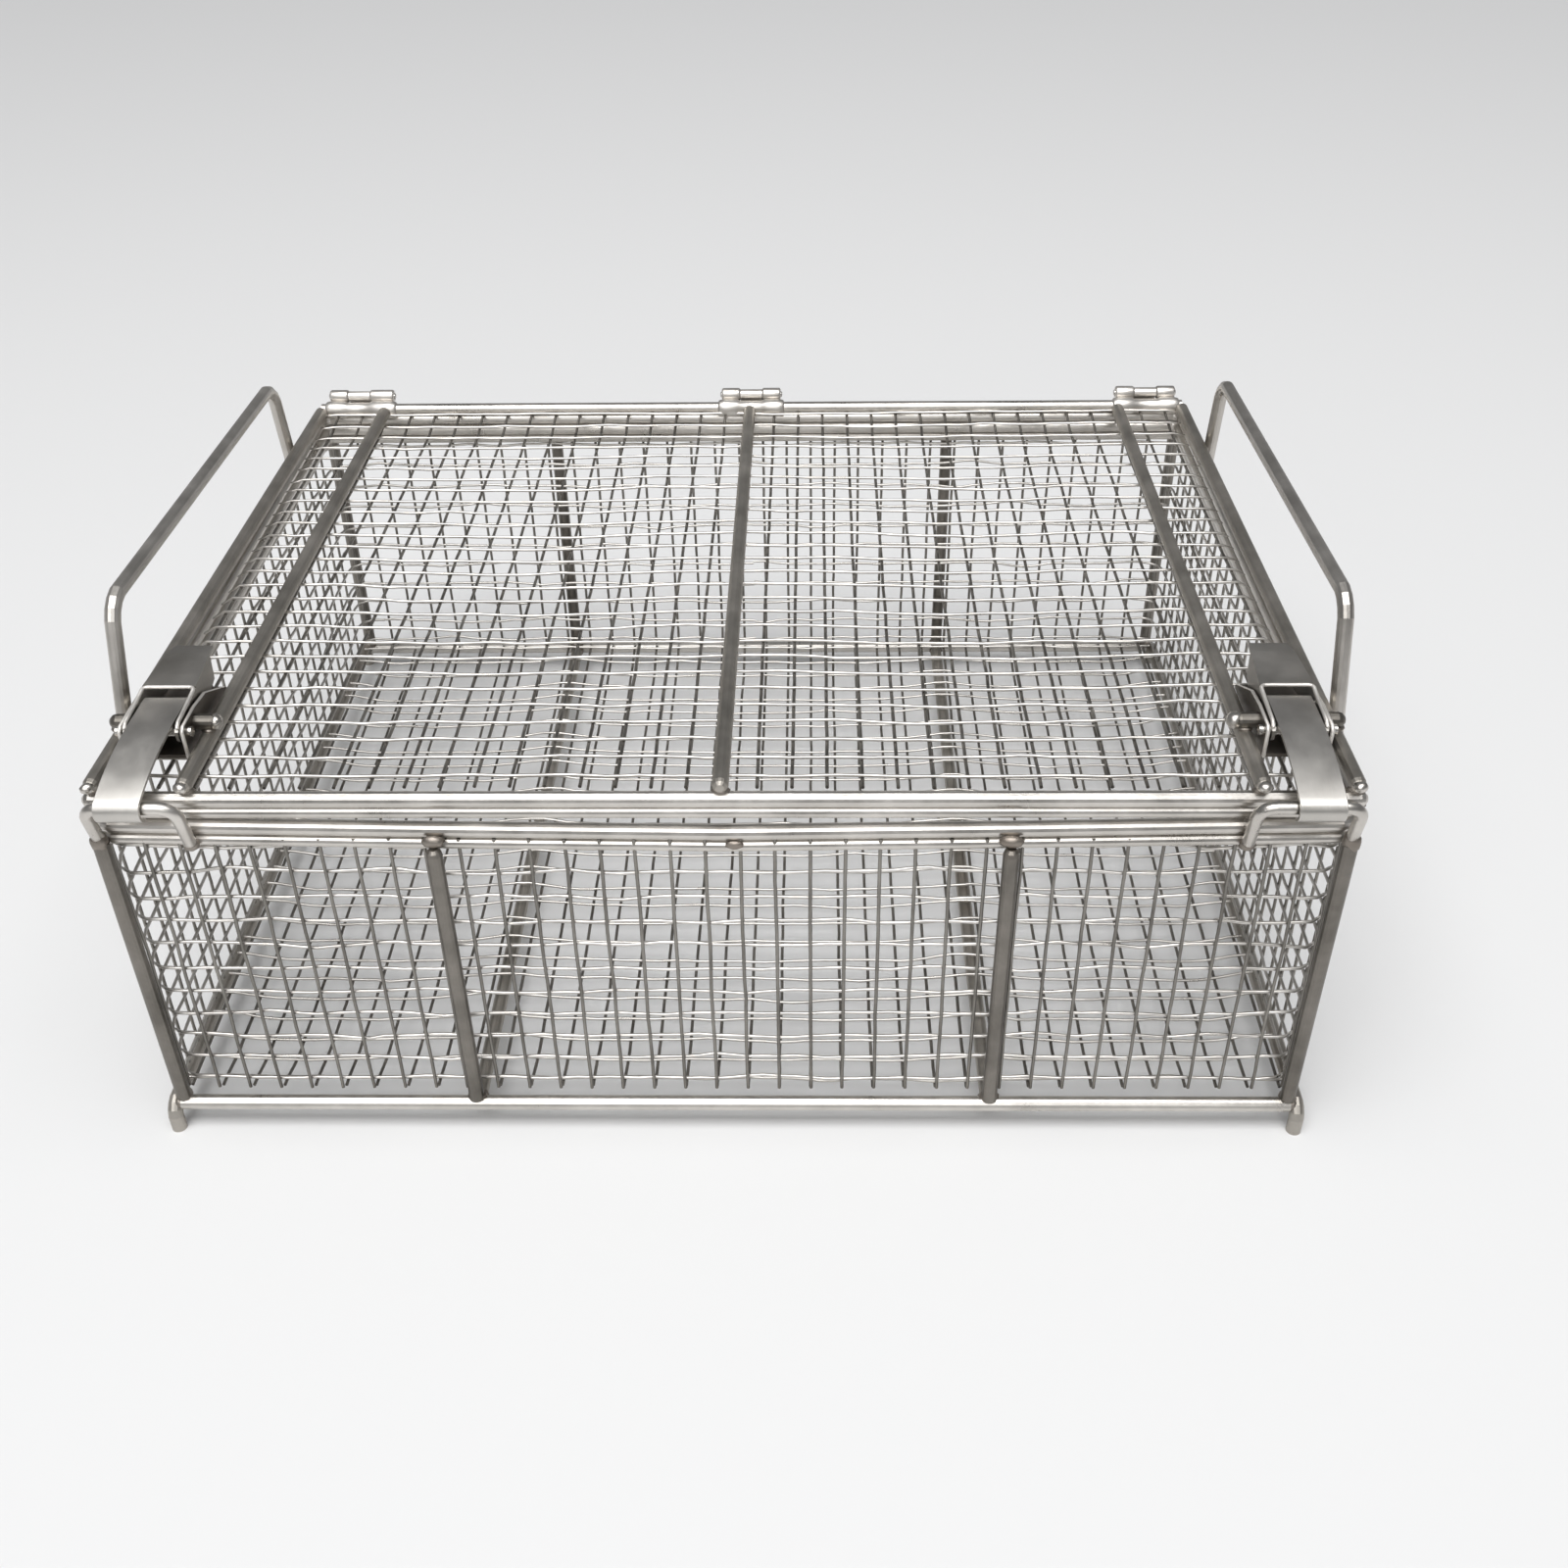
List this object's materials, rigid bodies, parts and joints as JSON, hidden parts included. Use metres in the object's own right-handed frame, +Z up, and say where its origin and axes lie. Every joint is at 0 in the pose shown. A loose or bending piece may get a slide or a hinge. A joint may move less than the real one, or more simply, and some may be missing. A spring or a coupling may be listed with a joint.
{
  "type": "autoclave_basket",
  "caption": "Wire mesh autoclave basket of welded stainless rod, with a hinged mesh lid, over-centre latches at the front corners, side carrying handles and short feet",
  "frame": {"origin": "midway between the four feet, on the plane they stand on", "axes": "+Z up, +X along the long side of the basket to the right as seen from the latches, -Y towards the latches, +Y towards the hinges"},
  "size_m": [0.3136, 0.2463, 0.139],
  "materials": {
    "rods": "satin stainless rod",
    "wire_mesh": "satin stainless welded wire",
    "latch_sheet": "satin stainless sheet",
    "hinge_sheet": "satin stainless sheet",
    "pins": "satin stainless pin"
  },
  "bodies": {
    "basket": {"catch_left": "rods", "catch_right": "rods", "floor_rod_back": "rods", "floor_rod_cross_left": "rods", "floor_rod_cross_right": "rods", "floor_rod_front": "rods", "floor_rod_side_left": "rods", "floor_rod_side_right": "rods", "handle_left": "rods", "handle_right": "rods", "hinge_left_basket_leaf": "hinge_sheet", "hinge_left_pin": "pins", "hinge_middle_basket_leaf": "hinge_sheet", "hinge_middle_pin": "pins", "hinge_right_basket_leaf": "hinge_sheet", "hinge_right_pin": "pins", "mesh_back": "wire_mesh", "mesh_floor": "wire_mesh", "mesh_front": "wire_mesh", "mesh_left": "wire_mesh", "mesh_right": "wire_mesh", "rim_lower": "rods", "rim_upper": "rods", "upright_corner_back_left": "rods", "upright_corner_back_right": "rods", "upright_corner_front_left": "rods", "upright_corner_front_right": "rods", "upright_mid_back_left": "rods", "upright_mid_back_right": "rods", "upright_mid_front_left": "rods", "upright_mid_front_right": "rods"},
    "lid": {"hinge_left_lid_leaf": "hinge_sheet", "hinge_middle_lid_leaf": "hinge_sheet", "hinge_right_lid_leaf": "hinge_sheet", "latch_left_base": "latch_sheet", "latch_left_base_pin": "pins", "latch_left_cross_rod": "rods", "latch_right_base": "latch_sheet", "latch_right_base_pin": "pins", "latch_right_cross_rod": "rods", "lid_bar_back": "rods", "lid_bar_front": "rods", "lid_mesh": "wire_mesh", "lid_ring": "rods", "lid_rod_edge_left": "rods", "lid_rod_edge_right": "rods", "lid_rod_inner_left": "rods", "lid_rod_inner_right": "rods", "lid_rod_middle": "rods"},
    "lever_left": {"latch_left_lever": "latch_sheet", "latch_left_strap_pin": "pins"},
    "lever_right": {"latch_right_lever": "latch_sheet", "latch_right_strap_pin": "pins"},
    "strap_left": {"latch_left_strap": "latch_sheet"},
    "strap_right": {"latch_right_strap": "latch_sheet"}
  },
  "joints": [
    {"name": "lid_hinge", "type": "hinge", "parent": "basket", "child": "lid", "pos_m": [0, 0.1178, 0.112], "axis": [-1, 0, 0], "range_deg": [0, 180]},
    {"name": "latch_left", "type": "hinge", "parent": "lid", "child": "lever_left", "pos_m": [-0.1391, -0.0975, 0.1172], "axis": [1, 0, 0], "range_deg": [0, 100]},
    {"name": "strap_left", "type": "hinge", "parent": "lever_left", "child": "strap_left", "pos_m": [-0.1391, -0.0872, 0.118], "axis": [1, 0, 0], "range_deg": [-80, 0]},
    {"name": "latch_right", "type": "hinge", "parent": "lid", "child": "lever_right", "pos_m": [0.1391, -0.0975, 0.1172], "axis": [1, 0, 0], "range_deg": [0, 100]},
    {"name": "strap_right", "type": "hinge", "parent": "lever_right", "child": "strap_right", "pos_m": [0.1391, -0.0872, 0.118], "axis": [1, 0, 0], "range_deg": [-80, 0]}
  ],
  "couplings": [
    {"joint": "strap_left", "follows": "latch_left", "ratio": -0.74},
    {"joint": "strap_right", "follows": "latch_right", "ratio": -0.74}
  ]
}
